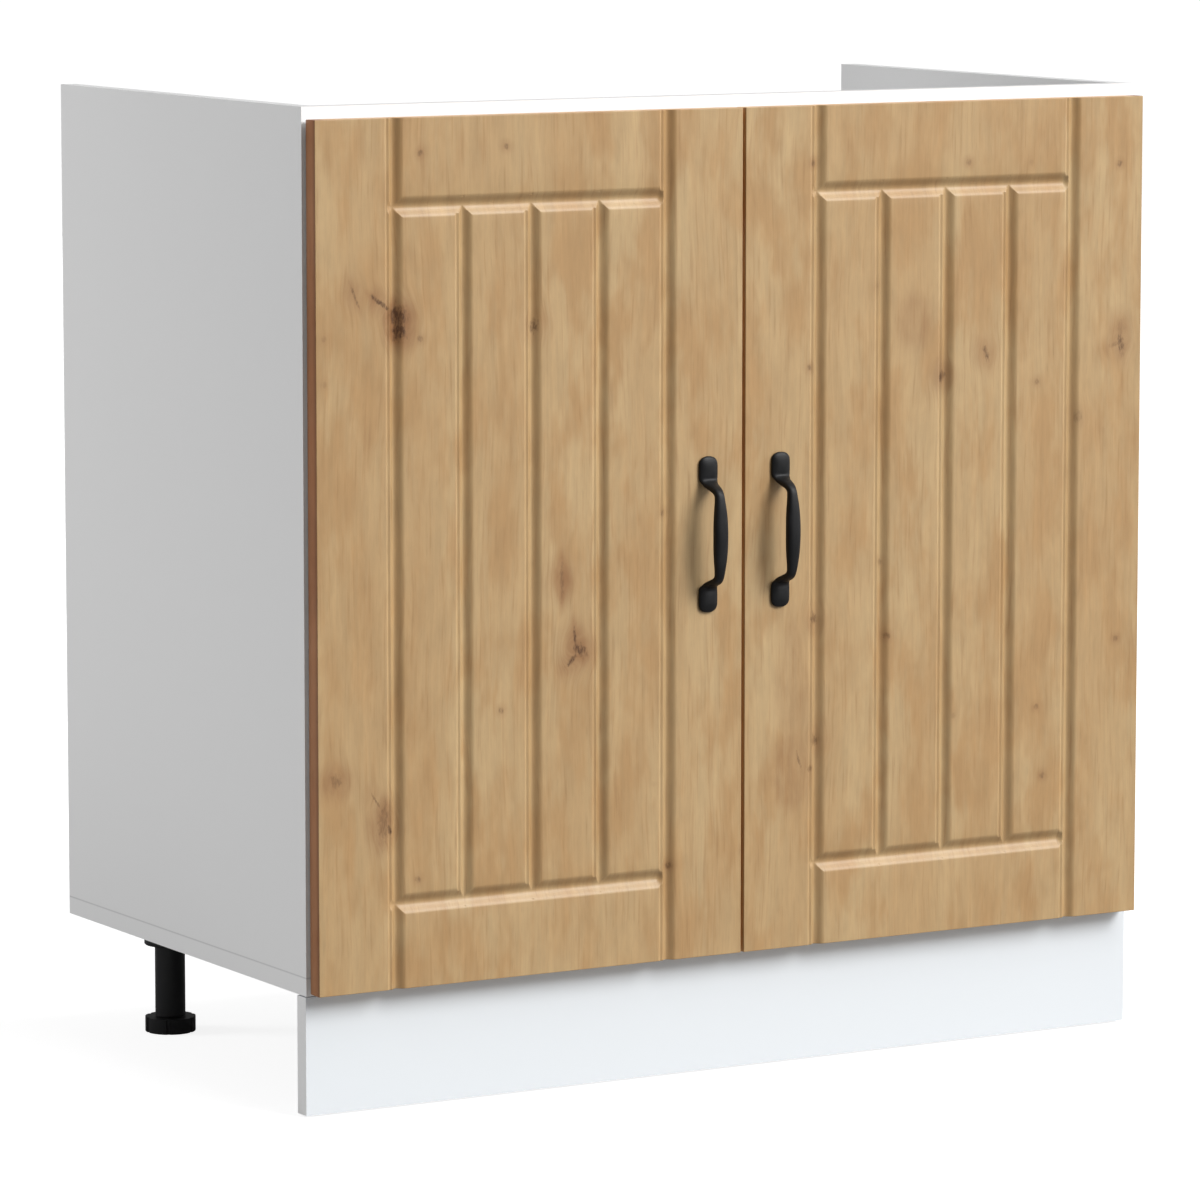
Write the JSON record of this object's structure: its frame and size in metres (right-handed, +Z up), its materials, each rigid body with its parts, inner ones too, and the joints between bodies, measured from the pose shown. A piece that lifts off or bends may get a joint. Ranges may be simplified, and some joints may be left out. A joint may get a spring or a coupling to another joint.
{
  "type": "sink base cabinet",
  "caption": "Freestanding sink base unit: white carcass open at top and back, light oak grooved doors on concealed hinges, black bow handles, plinth and screw-adjustable legs.",
  "frame": {"origin": "on the floor under the middle of the unit's bounding box, handles included", "axes": "+X to the right as seen from the front, +Y from the doors to the back, +Z up"},
  "size_m": [0.8, 0.486, 0.815],
  "materials": {
    "white_board": "white melamine faced board",
    "oak": "satin light oak foil on fibreboard, with knots",
    "black_handle": "matt black",
    "black_plastic": "matt moulded",
    "nickel": "nickel plated",
    "zinc": "zinc plated",
    "beech": "plain beech"
  },
  "bodies": {
    "carcass": {"side_panel_left": "white_board", "side_panel_right": "white_board", "bottom_panel": "white_board", "front_rail": "white_board", "back_rail": "white_board", "cam_locks": "zinc", "cam_bolts": "zinc", "wooden_dowels": "beech", "bottom_screws": "zinc", "leg_plate_screws": "zinc", "hinge_plate_screws": "zinc", "hinge_arm_screws": "zinc", "leg_plate_front_left": "black_plastic", "leg_plate_front_right": "black_plastic", "leg_plate_back_left": "black_plastic", "leg_plate_back_right": "black_plastic", "leg_tube_front_left": "black_plastic", "leg_tube_front_right": "black_plastic", "leg_tube_back_left": "black_plastic", "leg_tube_back_right": "black_plastic", "hinge_arm_lower_left": "nickel", "hinge_arm_lower_right": "nickel", "hinge_arm_upper_left": "nickel", "hinge_arm_upper_right": "nickel", "hinge_plate_lower_left": "nickel", "hinge_plate_lower_right": "nickel", "hinge_plate_upper_left": "nickel", "hinge_plate_upper_right": "nickel"},
    "left_door": {"door_left": "oak", "hinge_cup_lower_left": "nickel", "hinge_cup_upper_left": "nickel", "hinge_pins_left": "nickel", "cup_screws_left": "zinc", "handle_left": "black_handle", "handle_screws_left": "zinc"},
    "right_door": {"door_right": "oak", "hinge_cup_lower_right": "nickel", "hinge_cup_upper_right": "nickel", "hinge_pins_right": "nickel", "cup_screws_right": "zinc", "handle_right": "black_handle", "handle_screws_right": "zinc"},
    "plinth_board": {"plinth": "white_board", "plinth_clip_left": "black_plastic", "plinth_clip_right": "black_plastic", "plinth_clip_screws": "zinc"},
    "stem_front_left": {"foot_stem_front_left": "black_plastic"},
    "foot_front_left": {"foot_front_left": "black_plastic"},
    "stem_front_right": {"foot_stem_front_right": "black_plastic"},
    "foot_front_right": {"foot_front_right": "black_plastic"},
    "stem_back_left": {"foot_stem_back_left": "black_plastic"},
    "foot_back_left": {"foot_back_left": "black_plastic"},
    "stem_back_right": {"foot_stem_back_right": "black_plastic"},
    "foot_back_right": {"foot_back_right": "black_plastic"}
  },
  "joints": [
    {"name": "left_door_hinge", "type": "hinge", "parent": "carcass", "child": "left_door", "pos_m": [-0.3907, -0.2107, 0.44], "axis": [0, 0, -1], "range_deg": [0, 95]},
    {"name": "right_door_hinge", "type": "hinge", "parent": "carcass", "child": "right_door", "pos_m": [0.3907, -0.2107, 0.44], "axis": [0, 0, 1], "range_deg": [0, 95]},
    {"name": "plinth_pull_off", "type": "slide", "parent": "carcass", "child": "plinth_board", "axis": [0, -1, 0], "range_m": [0, 0.1]},
    {"name": "stem_front_left_slide", "type": "slide", "parent": "carcass", "child": "stem_front_left", "axis": [0, 0, -1], "range_m": [0, 0.02]},
    {"name": "foot_front_left_turn", "type": "hinge", "parent": "stem_front_left", "child": "foot_front_left", "pos_m": [-0.332, -0.142, 0.008], "axis": [0, 0, -1], "range_deg": [0, 1800]},
    {"name": "stem_front_right_slide", "type": "slide", "parent": "carcass", "child": "stem_front_right", "axis": [0, 0, -1], "range_m": [0, 0.02]},
    {"name": "foot_front_right_turn", "type": "hinge", "parent": "stem_front_right", "child": "foot_front_right", "pos_m": [0.332, -0.142, 0.008], "axis": [0, 0, -1], "range_deg": [0, 1800]},
    {"name": "stem_back_left_slide", "type": "slide", "parent": "carcass", "child": "stem_back_left", "axis": [0, 0, -1], "range_m": [0, 0.02]},
    {"name": "foot_back_left_turn", "type": "hinge", "parent": "stem_back_left", "child": "foot_back_left", "pos_m": [-0.332, 0.186, 0.008], "axis": [0, 0, -1], "range_deg": [0, 1800]},
    {"name": "stem_back_right_slide", "type": "slide", "parent": "carcass", "child": "stem_back_right", "axis": [0, 0, -1], "range_m": [0, 0.02]},
    {"name": "foot_back_right_turn", "type": "hinge", "parent": "stem_back_right", "child": "foot_back_right", "pos_m": [0.332, 0.186, 0.008], "axis": [0, 0, -1], "range_deg": [0, 1800]}
  ],
  "couplings": [
    {"joint": "foot_front_left_turn", "follows": "stem_front_left_slide", "rad_per_m": 1570.8},
    {"joint": "foot_front_right_turn", "follows": "stem_front_right_slide", "rad_per_m": 1570.8},
    {"joint": "foot_back_left_turn", "follows": "stem_back_left_slide", "rad_per_m": 1570.8},
    {"joint": "foot_back_right_turn", "follows": "stem_back_right_slide", "rad_per_m": 1570.8}
  ]
}
